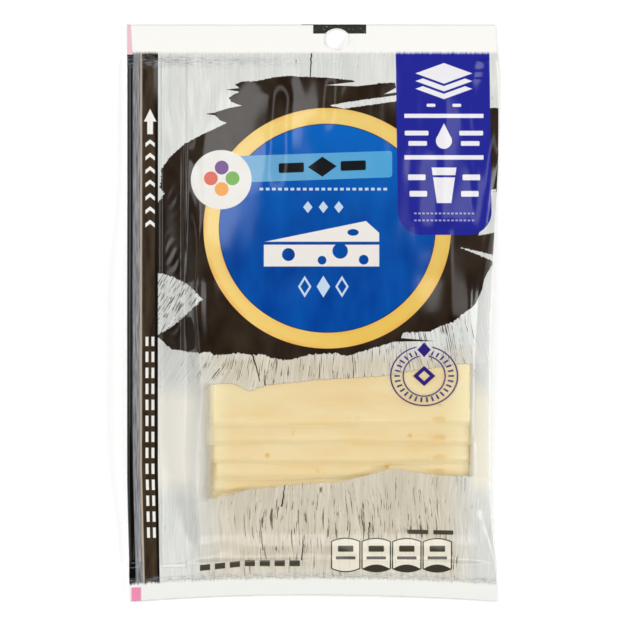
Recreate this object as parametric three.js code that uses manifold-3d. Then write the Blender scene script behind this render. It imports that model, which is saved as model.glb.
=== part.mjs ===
// A flat pack of sliced cheese, lying on its back with its printed front up.
// Millimetres. X runs across the pack, +Y points to the end with the hang hole, +Z is up.
// The origin is on the surface that the pack lies on, under the middle of the pack.
// The sealed pouch and the shingled slices that fill it are one closed solid.

import * as THREE from 'three';
import { mergeVertices } from 'three/addons/utils/BufferGeometryUtils.js';
import Module from 'manifold-3d';

// The pouch: one folded film, welded across both ends
const PACK_WIDTH = 144.3;
const PACK_LENGTH = 224;
const SEAL_LENGTH = 12.3;
const SEAL_THICKNESS = 0.8;
const SEAL_HEIGHT = 1.6;
const SEAL_WAVE = 0.45;
const WELD_PINCH = 3.5;
const FOOT_CURVE = 2.6;
const FOOT_CURVE_FROM = -80;
const FOOT_CURVE_INSET = 1;

// The slices: ten squares, each shifted a little up the pack from the one below it.
// From the top slice down the shift shrinks, and it varies as slices laid by machine do.
const SLICE_COUNT = 10;
const FIRST_SHIFT = 7.2;
const SHIFT_SHRINK = 0.4;
const SHIFT_VARIATION = 0.9;
const SLICE_WIDTH = 103.4;
const SLICE_LENGTH = 100;
const SLICE_THICKNESS = 1.75;
const STACK_CENTRE = 9.8;
const TOP_SLICE_FOOT = -43.7;
const FILM_OVER_SLICES = 0.4;
const AIR_UNDER_FILM = 2.4;
const FRONT_RISE_REACH = 20;
const BACK_RISE_GAP = 8;
const SLICE_EDGE_SOFTNESS = 1.2;
const SLICE_HEAD_DRAPE = 18;

// The folded side edge on the right is drawn in and lifted where the stack is thick
const SIDE_DRAW_IN = 3.9;
const DRAW_IN_LEFT_AT_FOOT = 0.2;
const DRAW_IN_FROM = 75;
const DRAW_IN_FULL = -20;
const DRAW_IN_EASES = -62;
const HEAD_TAPER = 1.3;
const HEAD_TAPER_FROM = 90;
const SIDE_LIFT = 0.2;
const FOLD_REACH = 2;

// The left side: a tear band with a round folded edge, then the press-to-close zipper
const LEFT_FOOT_TAPER = 0.9;
const FOOT_TAPER_FROM = -60;
const FOLD_CREASE = -66.2;
const FOLD_RISE = 1.5;
const FOLD_SINK = 0.5;
const BAND_THICKNESS = 1.3;
const BAND_EDGE = -60;
const ZIPPER_START = -58.6;
const ZIPPER_END = -49.4;
const ZIPPER_RISE = 0.7;
const ZIPPER_FLANK = 0.6;
const SLOPE_GAP = 1;

// The hang hole in the head seal
const HOLE_CENTRE = { x: 9.2, y: 106.4 };
const HOLE_WIDTH = 10;
const HOLE_LENGTH = 8;
const HOLE_SIDES = 28;

// Spacing of the section lines
const LONG_STEP = 7.5;
const WIDE_STEP = 10.5;
const SLOPE_STEP = 2.2;
const SEAL_STEP = 5;

const HALF_WIDTH = PACK_WIDTH / 2;
const HALF_LENGTH = PACK_LENGTH / 2;
const HEAD_SEAL = HALF_LENGTH - SEAL_LENGTH;
const FOOT_SEAL = -HEAD_SEAL;
const STACK_LEFT = STACK_CENTRE - SLICE_WIDTH / 2;
const STACK_RIGHT = STACK_CENTRE + SLICE_WIDTH / 2;
const STACK_THICKNESS = SLICE_COUNT * SLICE_THICKNESS;
const FOLD_START = STACK_RIGHT - FOLD_REACH;
const SLOPE_END = STACK_LEFT - SLOPE_GAP;

// 0 before start, 1 after end, an S-curve between; start may be the larger of the two
function ease(start, end, value) {
  const t = THREE.MathUtils.clamp((value - start) / (end - start), 0, 1);
  return t * t * (3 - 2 * t);
}

// The foot edge of each slice, from the top slice down
function sliceFeet() {
  const feet = [TOP_SLICE_FOOT];
  for (let k = 0; k < SLICE_COUNT - 1; k += 1) {
    const shift = FIRST_SHIFT - SHIFT_SHRINK * k + SHIFT_VARIATION * Math.sin(2 * k - 0.2);
    feet.push(feet[k] - shift);
  }
  return feet;
}

const SLICE_FEET = sliceFeet();
const STACK_FOOT = SLICE_FEET[SLICE_COUNT - 1];
const STACK_HEAD = TOP_SLICE_FOOT + SLICE_LENGTH;

// Height of the slices at y: each ends in a step at its foot and droops at its head
function stackHeight(y) {
  return SLICE_FEET.reduce((height, foot) => {
    const head = foot + SLICE_LENGTH;
    const begun = ease(foot - SLICE_EDGE_SOFTNESS, foot, y);
    const ended = ease(head - SLICE_HEAD_DRAPE / 2, head + SLICE_HEAD_DRAPE / 2, y);
    return height + SLICE_THICKNESS * begun * (1 - ended);
  }, 0);
}

// 1 in the welded bands, 0 where the pouch is open inside
function welded(y) {
  const atHead = ease(HEAD_SEAL - WELD_PINCH, HEAD_SEAL, y);
  const atFoot = ease(FOOT_SEAL + WELD_PINCH, FOOT_SEAL, y);
  return Math.max(atHead, atFoot);
}

// Height of the weld's middle, with the slight wave of a cut film edge
function sealHeight(x) {
  return SEAL_HEIGHT + SEAL_WAVE * Math.sin(x / 17 + 0.6);
}

// Height of the line where front and back film meet along the sides
function sideHeight(y) {
  const thick = ease(STACK_HEAD, 0, y) * (1 - ease(TOP_SLICE_FOOT, STACK_FOOT, y));
  return SEAL_HEIGHT + SIDE_LIFT * STACK_THICKNESS * thick;
}

function leftEdge(y) {
  return -HALF_WIDTH + LEFT_FOOT_TAPER * ease(FOOT_TAPER_FROM, -HALF_LENGTH, y);
}

function rightEdge(y) {
  const eased = (1 - DRAW_IN_LEFT_AT_FOOT) * ease(DRAW_IN_EASES, -HALF_LENGTH, y);
  const drawn = ease(DRAW_IN_FROM, DRAW_IN_FULL, y) * (1 - eased);
  return HALF_WIDTH - SIDE_DRAW_IN * drawn - HEAD_TAPER * ease(HEAD_TAPER_FROM, HALF_LENGTH, y);
}

// Quarter ellipse of the right-hand fold: 1 beside the slices, 0 at the edge
function foldShare(x, y) {
  const t = THREE.MathUtils.clamp((x - FOLD_START) / (rightEdge(y) - FOLD_START), 0, 1);
  return Math.sqrt(1 - t * t);
}

// Share of the stack's height that the film has at x on its left-hand slope
function slopeShare(x) {
  return ease(ZIPPER_END - ZIPPER_FLANK, SLOPE_END, x);
}

// Half thickness of the band and zipper; the round fold at the left edge swells by tube
function bandHalf(x, y, tube) {
  const left = leftEdge(y);
  const across = THREE.MathUtils.clamp((x - left) / (FOLD_CREASE - left), 0, 1);
  const onZipper = ease(ZIPPER_START - ZIPPER_FLANK, ZIPPER_START, x)
    * (1 - ease(ZIPPER_END, ZIPPER_END + ZIPPER_FLANK, x));
  const swell = tube * Math.sin(Math.PI * Math.sqrt(across));
  return BAND_THICKNESS / 2 + swell + ZIPPER_RISE * onZipper;
}

function frontHeight(x, y) {
  const air = AIR_UNDER_FILM * Math.sin(Math.PI * ease(HEAD_SEAL, 0, y));
  const rise = SEAL_HEIGHT * ease(STACK_HEAD - FRONT_RISE_REACH, HEAD_SEAL, y);
  const middle = stackHeight(y) + FILM_OVER_SLICES + air + rise;
  const side = sideHeight(y);
  const filled = x > STACK_CENTRE
    ? side + (middle - side) * foldShare(x, y)
    : THREE.MathUtils.lerp(side + bandHalf(x, y, FOLD_RISE), middle, slopeShare(x));
  return THREE.MathUtils.lerp(filled, sealHeight(x) + SEAL_THICKNESS / 2, welded(y));
}

function backHeight(x, y) {
  const atHead = ease(STACK_HEAD + BACK_RISE_GAP, HEAD_SEAL, y);
  const lifted = Math.max(atHead, ease(STACK_FOOT, FOOT_SEAL, y));
  const middle = SEAL_HEIGHT * lifted;
  const side = sideHeight(y);
  const filled = x > STACK_CENTRE
    ? side + (middle - side) * foldShare(x, y)
    : THREE.MathUtils.lerp(side - bandHalf(x, y, FOLD_SINK), middle, slopeShare(x));
  return THREE.MathUtils.lerp(filled, sealHeight(x) - SEAL_THICKNESS / 2, welded(y));
}

// Even steps no longer than the longest one, from start up to but without end
function evenSteps(start, end, longest) {
  const count = Math.ceil(Math.abs(end - start) / longest);
  return Array.from({ length: count }, (_, i) => start + ((end - start) * i) / count);
}

// Places across the pack at y, from its left edge to its right edge
function crossLines(y, wideStep) {
  const left = leftEdge(y);
  const right = rightEdge(y);
  const tube = [0, 0.06, 0.25, 0.55, 0.85].map((t) => THREE.MathUtils.lerp(left, FOLD_CREASE, t));
  const band = [FOLD_CREASE, BAND_EDGE, ZIPPER_START - ZIPPER_FLANK, ZIPPER_START];
  const zipper = [(ZIPPER_START + ZIPPER_END) / 2, ZIPPER_END, ZIPPER_END + ZIPPER_FLANK];
  const slope = evenSteps(ZIPPER_END + 3 * ZIPPER_FLANK, SLOPE_END, SLOPE_STEP);
  const middle = evenSteps(SLOPE_END, FOLD_START, wideStep);
  const fold = [0, 0.25, 0.5, 0.7, 0.85, 0.95, 1]
    .map((t) => THREE.MathUtils.lerp(FOLD_START, right, t));
  return [...tube, ...band, ...zipper, ...slope, ...middle, ...fold];
}

// Places along the pack, from foot to head, with two lines at each slice's step
function longLines() {
  const steps = [...SLICE_FEET].reverse().flatMap((foot) => [foot - SLICE_EDGE_SOFTNESS, foot]);
  return [
    ...evenSteps(-HALF_LENGTH, FOOT_SEAL, SEAL_STEP),
    FOOT_SEAL, FOOT_SEAL + WELD_PINCH,
    ...steps,
    ...evenSteps(TOP_SLICE_FOOT + 3, HEAD_SEAL - WELD_PINCH, LONG_STEP),
    HEAD_SEAL - WELD_PINCH, HEAD_SEAL,
    HEAD_SEAL + 2, HOLE_CENTRE.y, HALF_LENGTH,
  ];
}

// The cut foot edge bows in at its middle
function alongPack(x, y) {
  const bow = 1 - Math.min(1, (x / (HALF_WIDTH - FOOT_CURVE_INSET)) ** 2);
  return y + FOOT_CURVE * bow * ease(FOOT_CURVE_FROM, -HALF_LENGTH, y);
}

// One closed section of the pouch: the front from left to right, then the back again
function section(y) {
  const front = crossLines(y, WIDE_STEP);
  const back = crossLines(y, 2 * WIDE_STEP).slice(1, -1).reverse();
  return [
    ...front.map((x) => new THREE.Vector3(x, alongPack(x, y), frontHeight(x, y))),
    ...back.map((x) => new THREE.Vector3(x, alongPack(x, y), backHeight(x, y))),
  ];
}

// Triangles of one end of the pouch, wound so that it faces along facing (+1 or -1 in Y)
function endTriangles(ring, first, facing) {
  const outline = ring.map((point) => new THREE.Vector2(point.x, point.z));
  return THREE.ShapeUtils.triangulateShape(outline, []).flatMap(([a, b, c]) => {
    const turn = outline[b].clone().sub(outline[a]).cross(outline[c].clone().sub(outline[a]));
    const order = turn * facing < 0 ? [a, b, c] : [a, c, b];
    return order.map((index) => first + index);
  });
}

// The sections joined into one closed surface
function pouchGeometry() {
  const rings = longLines().map(section);
  const around = rings[0].length;
  const triangles = [];
  for (let row = 0; row < rings.length - 1; row += 1) {
    for (let i = 0; i < around; i += 1) {
      const a = row * around + i;
      const b = row * around + ((i + 1) % around);
      triangles.push(a, b, b + around, a, b + around, a + around);
    }
  }
  triangles.push(...endTriangles(rings[0], 0, -1));
  triangles.push(...endTriangles(rings.at(-1), (rings.length - 1) * around, 1));
  const geometry = new THREE.BufferGeometry().setFromPoints(rings.flat());
  geometry.setIndex(triangles);
  return geometry;
}

// The punched hang hole, as the oval plug that it removes
function holePlug() {
  const oval = new THREE.Shape();
  oval.absellipse(0, 0, HOLE_WIDTH / 2, HOLE_LENGTH / 2, 0, 2 * Math.PI);
  const depth = 4 * SEAL_HEIGHT;
  const plug = new THREE.ExtrudeGeometry(oval, { depth, bevelEnabled: false, curveSegments: HOLE_SIDES });
  plug.translate(HOLE_CENTRE.x, HOLE_CENTRE.y, SEAL_HEIGHT - depth / 2);
  return plug;
}

const wasm = await Module();
wasm.setup();

function toSolid(geometry) {
  const bare = geometry.clone();
  bare.deleteAttribute('normal');
  bare.deleteAttribute('uv');
  const merged = mergeVertices(bare, 1e-4);
  const vertProperties = new Float32Array(merged.attributes.position.array);
  const triVerts = new Uint32Array(merged.index.array);
  return new wasm.Manifold(new wasm.Mesh({ numProp: 3, vertProperties, triVerts }));
}

function toGeometry(solid) {
  const mesh = solid.getMesh();
  const geometry = new THREE.BufferGeometry();
  geometry.setAttribute('position', new THREE.BufferAttribute(mesh.vertProperties, 3));
  geometry.setIndex(new THREE.BufferAttribute(mesh.triVerts, 1));
  geometry.computeVertexNormals();
  return geometry;
}

const printedFilm = new THREE.MeshStandardMaterial({ color: 0xd9d5c6, roughness: 0.3, metalness: 0 });

const pouchSolid = toSolid(pouchGeometry()).subtract(toSolid(holePlug()));
const pouch = new THREE.Mesh(toGeometry(pouchSolid), printedFilm);
pouch.name = 'pouch';

const group = new THREE.Group();
group.add(pouch);

export default group;
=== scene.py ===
"""A flat pack of sliced cheese: shingled slices and a zipper inside a printed film pouch."""

import math

import bpy
import numpy as np
from mathutils import Matrix, Vector


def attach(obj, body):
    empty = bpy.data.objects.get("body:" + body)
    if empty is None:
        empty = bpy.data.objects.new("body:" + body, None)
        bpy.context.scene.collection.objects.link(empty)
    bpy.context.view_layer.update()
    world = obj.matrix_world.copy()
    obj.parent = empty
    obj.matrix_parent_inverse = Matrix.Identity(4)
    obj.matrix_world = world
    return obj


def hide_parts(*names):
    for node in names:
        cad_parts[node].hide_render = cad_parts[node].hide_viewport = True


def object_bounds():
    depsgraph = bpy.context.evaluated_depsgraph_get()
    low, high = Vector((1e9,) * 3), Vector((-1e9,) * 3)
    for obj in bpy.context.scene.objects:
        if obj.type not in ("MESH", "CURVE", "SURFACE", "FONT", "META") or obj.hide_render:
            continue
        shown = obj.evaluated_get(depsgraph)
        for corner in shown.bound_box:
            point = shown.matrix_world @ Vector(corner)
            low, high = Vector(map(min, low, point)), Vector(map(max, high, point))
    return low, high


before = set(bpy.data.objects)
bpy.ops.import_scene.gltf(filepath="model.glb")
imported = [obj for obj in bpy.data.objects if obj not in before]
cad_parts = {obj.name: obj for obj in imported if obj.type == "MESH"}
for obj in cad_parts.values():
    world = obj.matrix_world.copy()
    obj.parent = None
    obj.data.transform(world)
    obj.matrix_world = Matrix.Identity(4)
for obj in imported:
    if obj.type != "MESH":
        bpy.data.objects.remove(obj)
cad_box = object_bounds()

# Cheese slices. Ten thin squares cut from one block of pale, smooth cheese and laid so
# that each sits a little further up the pack than the one below it. Their heads droop
# over the slices below. Some of the small eyes go through all slices, others show in one.

MM = 0.001
SLICE_COUNT = 10
SLICE_WIDTH = 103.4
SLICE_LENGTH = 100.0
SLICE_THICKNESS = 1.75
SLICE_CORNER = 2.2
SIDE_ROUND = 1.7
FOOT_ROUND = 2.4
THIN_REACH = 1.6
SLICE_STEP = 0.85
STACK_CENTRE = 9.8
TOP_SLICE_FOOT = -43.7
FIRST_SHIFT = 7.2
SHIFT_SHRINK = 0.4
SHIFT_VARIATION = 0.9
FOOT_SOFTNESS = 1.2
HEAD_DROOP = 18.0
LEFT_INSETS = (1.1, 0.0, 2.6, 3.4, 2.2, 1.4, 2.8, 1.6, 2.4, 3.0)
# Eyes as (x from the stack's middle, y from the slice's foot, radius, squash, depth, and
# the uppermost and lowest slice that show it)
EYES = (
    (38.8, 2.6, 3.7, 0.46, 0.26, 0, 9),
    (34.8, 3.0, 1.2, 0.8, 0.20, 1, 9),
    (-27.4, 3.4, 1.2, 0.9, 0.50, 2, 2),
    (18.6, 4.6, 1.4, 0.9, 0.50, 3, 4),
    (27.7, 3.3, 1.1, 1.0, 0.50, 1, 1),
    (39.2, 8.0, 1.1, 1.0, 0.26, 0, 0),
    (-17.5, 4.2, 1.0, 0.8, 0.24, 1, 1),
    (7.4, 3.0, 1.6, 0.7, 0.18, 0, 0),
    (-8.0, 3.2, 0.9, 1.0, 0.30, 3, 3),
    (-6.0, 30.0, 2.4, 0.8, 0.40, 0, 9),
)


def ease(start, end, value):
    """0 before start and 1 after end, with the S-curve 3t^2 - 2t^3 between them."""
    t = np.clip((value - start) / (end - start), 0, 1)
    return t * t * (3 - 2 * t)


def slice_feet():
    """The foot edge of each slice, top slice first: the shift shrinks and varies a little."""
    k = np.arange(SLICE_COUNT - 1)
    shifts = FIRST_SHIFT - SHIFT_SHRINK * k + SHIFT_VARIATION * np.sin(2 * k - 0.2)
    return TOP_SLICE_FOOT - np.concatenate([[0], np.cumsum(shifts)])


FEET = slice_feet()
STACK_FOOT = FEET[-1]
STACK_HEAD = TOP_SLICE_FOOT + SLICE_LENGTH
STACK_LEFT = STACK_CENTRE - SLICE_WIDTH / 2
STACK_RIGHT = STACK_CENTRE + SLICE_WIDTH / 2
STACK_THICKNESS = SLICE_COUNT * SLICE_THICKNESS


def layers(y, first):
    """Height of the slices from number first down at y: each adds its thickness from its
    foot edge on, and sinks away in an S-curve round its head edge."""
    feet = FEET[first:]
    heads = feet + SLICE_LENGTH
    y = np.asarray(y, float)[..., None]
    begun = ease(feet - FOOT_SOFTNESS, feet, y)
    ended = ease(heads - HEAD_DROOP / 2, heads + HEAD_DROOP / 2, y)
    return (SLICE_THICKNESS * begun * (1 - ended)).sum(-1)


def lines(start, end, step, close=()):
    """Even places from start to end, with extra ones at the close distances from both."""
    count = int(math.ceil((end - start - 2 * sum(close[-1:])) / step))
    middle = np.linspace(start + sum(close[-1:]), end - sum(close[-1:]), count + 1)
    near = np.array((0.0,) + tuple(close[:-1])) if close else np.array([])
    return np.concatenate([start + near, middle, (end - near)[::-1]])


def shell_mesh(name, upper, lower):
    """A closed thin solid from two grids of points in millimetres: the upper face, the
    lower face turned over, and a rim of quads round the edge between them."""
    rows, cols = upper.shape[:2]
    index = np.arange(rows * cols).reshape(rows, cols)
    quads = np.stack([index[:-1, :-1], index[:-1, 1:], index[1:, 1:], index[1:, :-1]], -1)
    quads = quads.reshape(-1, 4)
    edge = np.concatenate([index[0, :-1], index[:-1, -1], index[-1, :0:-1], index[:0:-1, 0]])
    ahead = np.roll(edge, -1)
    below = rows * cols
    rim = np.stack([edge, edge + below, ahead + below, ahead], -1)
    faces = np.concatenate([quads, quads[:, ::-1] + below, rim])
    points = np.concatenate([upper.reshape(-1, 3), lower.reshape(-1, 3)]) * MM
    mesh = bpy.data.meshes.new(name)
    mesh.from_pydata(points.tolist(), [], faces.tolist())
    mesh.polygons.foreach_set("use_smooth", np.ones(len(faces), bool))
    return mesh


def add_piece(name, mesh, material):
    """Put a mesh into the scene as a piece of the pack that stands for the pouch solid."""
    piece = bpy.data.objects.new(name, mesh)
    bpy.context.scene.collection.objects.link(piece)
    mesh.materials.append(material)
    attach(piece, "root")
    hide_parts("pouch")
    return piece


def rounded_square(u, v, half_wide, half_long, corner):
    """Grid places u and v pulled in round each corner, as a square pressed into a disc."""
    over_x = np.clip((np.abs(u) - half_wide + corner) / corner, 0, 1)
    over_y = np.clip((np.abs(v) - half_long + corner) / corner, 0, 1)
    pulled_x = over_x * np.sqrt(1 - over_y**2 / 2)
    pulled_y = over_y * np.sqrt(1 - over_x**2 / 2)
    x = np.sign(u) * np.where(over_x > 0, half_wide - corner + corner * pulled_x, np.abs(u))
    y = np.sign(v) * np.where(over_y > 0, half_long - corner + corner * pulled_y, np.abs(v))
    return x, y


def slice_surface(number):
    """Upper and lower face of one slice. The outline is a square with small round corners
    and a faint wobble. The lower face lies on the slices below; the upper face comes down
    to it as a quarter sine at the sides and a softer S-curve at foot and head, where the
    film presses it, and dips into the eyes. Two marks go with each point: the depth of the
    eye there, and how thin the slice is, which falls off exponentially from its edge."""
    inset = LEFT_INSETS[number]
    half_wide = (SLICE_WIDTH - inset) / 2
    half_long = SLICE_LENGTH / 2
    close = (0.1, 0.4, 0.8, 1.3, 1.9)
    u, v = np.meshgrid(
        lines(-half_wide, half_wide, SLICE_STEP, close),
        lines(-half_long, half_long, SLICE_STEP, close),
    )
    x, y = rounded_square(u, v, half_wide, half_long, SLICE_CORNER)
    side_rim = half_wide - np.abs(u)
    foot_rim = half_long - np.abs(v)
    near_rim = np.exp(-np.minimum(side_rim, foot_rim) / 6)
    x = x + (0.25 * np.sin(y / 9 + 1.7 * number) + 0.12 * np.sin(y / 2.7 + number)) * near_rim
    sag = 0.4 * np.sin(x / 17 + 2.3 * number) + 0.16 * np.sin(x / 5.3 + 1.1 * number)
    y = y + sag * near_rim
    x = x + STACK_CENTRE + inset / 2
    foot = FEET[number]
    y = y + foot + half_long
    side_rounding = np.sin(np.pi / 2 * np.clip(side_rim / SIDE_ROUND, 0, 1))
    rounding = side_rounding * ease(0, FOOT_ROUND, foot_rim)
    bed = layers(y, number + 1)
    pits = np.zeros_like(x)
    for eye_x, eye_y, radius, squash, depth, highest, lowest in EYES:
        far = np.hypot(x - STACK_CENTRE - eye_x, (y - foot - eye_y) / squash) / radius
        pits += (highest <= number <= lowest) * depth * (1 - ease(0.5, 1.0, far))
    thick = SLICE_THICKNESS * (0.12 + 0.88 * rounding)
    upper = np.stack([x, y, bed + thick - pits * rounding], -1)
    lower = np.stack([x, y, bed], -1)
    # The thin mark sets the cheese's painted edge glow, and the eye depth its painted shade in the
    # eyes.
    thin = np.exp(-np.minimum(side_rim, foot_rim) / THIN_REACH).ravel()
    marks = {"eye_depth": np.concatenate([pits.ravel(), 0 * thin]), "thin": np.tile(thin, 2)}
    return upper, lower, marks


def linear(red, green, blue):
    """A colour given as 0 to 255 screen values, as the linear values that shaders take."""
    screen = [value / 255 for value in (red, green, blue)]
    scene_values = [v / 12.92 if v <= 0.04045 else ((v + 0.055) / 1.055) ** 2.4 for v in screen]
    return (*scene_values, 1.0)


class Shade:
    """One output of a material's nodes; arithmetic on it adds Math nodes."""

    def __init__(self, tree, socket):
        self.tree = tree
        self.socket = socket

    def node(self, kind, settings=None, sockets=None, out=0):
        """Add a node, make its settings, then fill its sockets with numbers or links."""
        made = self.tree.nodes.new(kind)
        for name, value in (settings or {}).items():
            if name == "stops":
                ramp = made.color_ramp.elements
                for place, _ in value[1:-1]:
                    ramp.new(place)
                for element, (_, grey) in zip(ramp, value):
                    element.color = (grey, grey, grey, 1)
            else:
                setattr(made, name, value)
        for name, value in (sockets or {}).items():
            if isinstance(value, Shade):
                self.tree.links.new(value.socket, made.inputs[name])
            else:
                made.inputs[name].default_value = value
        return Shade(self.tree, made.outputs[out] if made.outputs else None)

    def maths(self, operation, *others, clamp=False):
        """Add a Math node on this value and the others."""
        settings = {"operation": operation, "use_clamp": clamp}
        return self.node("ShaderNodeMath", settings, dict(enumerate((self, *others))))

    def __add__(self, other):
        return self.maths("ADD", other)

    def __radd__(self, other):
        return self.maths("ADD", other)

    def __sub__(self, other):
        return self.maths("SUBTRACT", other)

    def __rsub__(self, other):
        return self.node("ShaderNodeMath", {"operation": "SUBTRACT"}, {0: other, 1: self})

    def __mul__(self, other):
        return self.maths("MULTIPLY", other)

    def __rmul__(self, other):
        return self.maths("MULTIPLY", other)

    def __truediv__(self, other):
        return self.maths("DIVIDE", other)

    def __abs__(self):
        return self.maths("ABSOLUTE")

    def most(self, other):
        """The greater of the two values."""
        return self.maths("MAXIMUM", other)

    def least(self, other):
        """The smaller of the two values."""
        return self.maths("MINIMUM", other)

    def within(self, low, high):
        """0 at low and 1 at high, straight between them, clamped outside."""
        return self.maths("MULTIPLY_ADD", 1 / (high - low), -low / (high - low), clamp=True)

    def paint(self, under, over):
        """Colour over where this mask is 1, and colour under where it is 0. A colour is a
        link or three screen values from 0 to 255."""
        under, over = (c if isinstance(c, Shade) else linear(*c) for c in (under, over))
        sockets = {0: self, 6: under, 7: over}
        return self.node("ShaderNodeMix", {"data_type": "RGBA"}, sockets, out=2)

    def feed(self, shader, socket):
        """Link this value to a shader's socket."""
        self.tree.links.new(self.socket, shader.inputs[socket])

    def noise(self, y, wide, long, seed, detail=2.0):
        """Noise from 0 to 1 over x (this value) and y, with features wide by long."""
        place = {"X": self * (1 / wide), "Y": y * (1 / long), "Z": seed}
        vector = self.node("ShaderNodeCombineXYZ", None, place)
        sockets = {"Vector": vector, "Scale": 1.0, "Detail": detail, "Roughness": 0.55}
        return self.node("ShaderNodeTexNoise", None, sockets)


def place_in_mm(tree):
    """Object coordinates across and along the pack in millimetres, as two values."""
    place = Shade(tree, None).node("ShaderNodeTexCoord", out=3)
    split = place.node("ShaderNodeSeparateXYZ", None, {0: place})
    return [Shade(tree, output) * (1 / MM) for output in split.socket.node.outputs[:2]]


def new_material(name, constants):
    """A material with its Principled shader, what is constant on it, and its place in
    millimetres."""
    material = bpy.data.materials.new(name)
    material.use_nodes = True
    surface = material.node_tree.nodes["Principled BSDF"]
    for socket, value in constants.items():
        surface.inputs[socket].default_value = value
    return (material, surface, *place_in_mm(material.node_tree))


def cheese_material():
    """Moist, smooth cheese: pale yellow, faintly mottled, paler towards the cut sides,
    with painted shade darkening the eyes by their depth. A painted glow at the thin edges
    stands for light seeping through them and lightens their shade."""
    material, surface, x, y = new_material("cheese", {
        "Emission Strength": 1.0,
        "Subsurface Weight": 0.45,
        "Subsurface Radius": (1.0, 0.8, 0.6),
        "Subsurface Scale": 0.0025,
        "Specular IOR Level": 0.2,
    })
    mottle = x.noise(y, 24.0, 9.0, 1.0, detail=3.0).within(0.38, 0.68)
    colour = mottle.paint((240, 221, 175), (237, 209, 155))
    sides = x.within(-31.0, -40.0).most(x.within(50.0, 60.0))
    colour = (sides * 0.75).paint(colour, (252, 239, 201))
    fine = x.noise(y, 1.6, 1.2, 4.0).within(0.3, 0.75)
    colour = (fine * 0.15).paint(colour, (254, 234, 192))
    # Painted shade: the eyes are darkened the deeper they are.
    eye = x.node("ShaderNodeAttribute", {"attribute_name": "eye_depth"}, out=2)
    colour = eye.within(0.04, 0.50).paint(colour, (228, 184, 104))
    colour.feed(surface, "Base Color")
    rough = x.noise(y, 5.0, 5.0, 7.0).within(0.2, 0.8) * 0.16 + 0.36
    rough.feed(surface, "Roughness")
    grain = x.noise(y, 0.9, 0.7, 9.0)
    bump = x.node("ShaderNodeBump", None, {"Strength": 0.12, "Distance": 0.0002, "Height": grain})
    bump.feed(surface, "Normal")
    # Painted light: the thin edges glow, standing for light that passes through them.
    thin = x.node("ShaderNodeAttribute", {"attribute_name": "thin"}, out=2)
    painted_edge_glow = thin.paint((0, 0, 0), (108, 93, 48))
    painted_edge_glow.feed(surface, "Emission Color")
    return material


cheese = cheese_material()
for number in range(SLICE_COUNT):
    name = f"cheese_slice_{number + 1:02d}"
    upper, lower, marks = slice_surface(number)
    mesh = shell_mesh(name, upper, lower)
    for mark, values in marks.items():
        mesh.attributes.new(mark, "FLOAT", "POINT").data.foreach_set("value", values)
    add_piece(name, mesh, cheese)

# Zipper. Two extruded strips of milky plastic that press together, a rib in a groove,
# laid between the films along the left side and caught in the weld at both ends.

HALF_WIDTH = (cad_box[1].x - cad_box[0].x) / 2 / MM
HALF_LENGTH = (cad_box[1].y - cad_box[0].y) / 2 / MM
SEAL_LENGTH = 12.3
SEAL_HEIGHT = 1.6
SEAL_WAVE = 0.45
WELD_PINCH = 3.5
SIDE_LIFT = 0.2
HEAD_SEAL = HALF_LENGTH - SEAL_LENGTH
FOOT_SEAL = -HEAD_SEAL
ZIPPER_START = -58.6
ZIPPER_END = -49.4
ZIPPER_MIDDLE = (ZIPPER_START + ZIPPER_END) / 2


def welded(y):
    """1 in the weld bands and 0 where the pouch is open inside."""
    at_head = ease(HEAD_SEAL - WELD_PINCH, HEAD_SEAL, y)
    at_foot = ease(FOOT_SEAL + WELD_PINCH, FOOT_SEAL, y)
    return np.maximum(at_head, at_foot)


def seal_height(x):
    """Height of the weld's middle: a slow sine wave across the pack."""
    return SEAL_HEIGHT + SEAL_WAVE * np.sin(x / 17 + 0.6)


def side_height(y):
    """Height at which the two films meet along the sides: lifted where the stack is thick."""
    thick = ease(STACK_HEAD, 0, y) * (1 - ease(TOP_SLICE_FOOT, STACK_FOOT, y))
    return SEAL_HEIGHT + SIDE_LIFT * STACK_THICKNESS * thick


def zipper_strip(side):
    """Section of one strip, closed: a flat flange with two ribs on its inner face and two
    guide lines on its outer face; side is 1 for the front strip and -1 for the back one."""
    ribs = [(-1.9, 0.35), (-1.9, -0.3), (-1.1, -0.3), (-1.1, 0.35)]
    catch = [(0.9, 0.35), (0.9, -0.3), (1.7, -0.3), (1.7, 0.35)]
    if side < 0:
        ribs = [(-0.7, 0.35), (-0.7, -0.25), (0.5, -0.25), (0.5, 0.35)]
        catch = [(2.1, 0.35), (2.1, -0.25), (2.8, -0.25), (2.8, 0.35)]
    outer = [(4.4, 0.35), (4.4, 0.6), (3.4, 0.6), (3.1, 0.85), (2.8, 0.6), (0, 0.7)]
    outer += [(-2.8, 0.6), (-3.1, 0.85), (-3.4, 0.6), (-4.4, 0.6), (-4.4, 0.35)]
    section = np.array(outer + ribs + catch, float) * (1, side)
    return section[::-side]


def swept_mesh(name, section, path):
    """A section in the XZ plane carried along path points and closed at both ends."""
    around = len(section)
    rings = np.zeros((len(path), around, 3))
    rings[..., 0] = path[:, None, 0] + section[None, :, 0]
    rings[..., 1] = path[:, None, 1]
    rings[..., 2] = path[:, None, 2] + section[None, :, 1]
    index = np.arange(len(path) * around).reshape(len(path), around)
    following = np.roll(index, -1, axis=1)
    quads = np.stack([index[:-1], following[:-1], following[1:], index[1:]], -1).reshape(-1, 4)
    ends = [index[0].tolist(), index[-1, ::-1].tolist()]
    mesh = bpy.data.meshes.new(name)
    mesh.from_pydata((rings.reshape(-1, 3) * MM).tolist(), [], quads.tolist() + ends)
    return mesh


def zipper_material():
    """Milky extruded plastic with faint lines along the extrusion."""
    material, surface, x, y = new_material("zipper_plastic", {})
    line = x.noise(y, 0.25, 60.0, 2.0)
    colour = line.paint((226, 226, 220), (240, 240, 236))
    colour.feed(surface, "Base Color")
    (line * 0.15 + 0.22).feed(surface, "Roughness")
    return material


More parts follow.
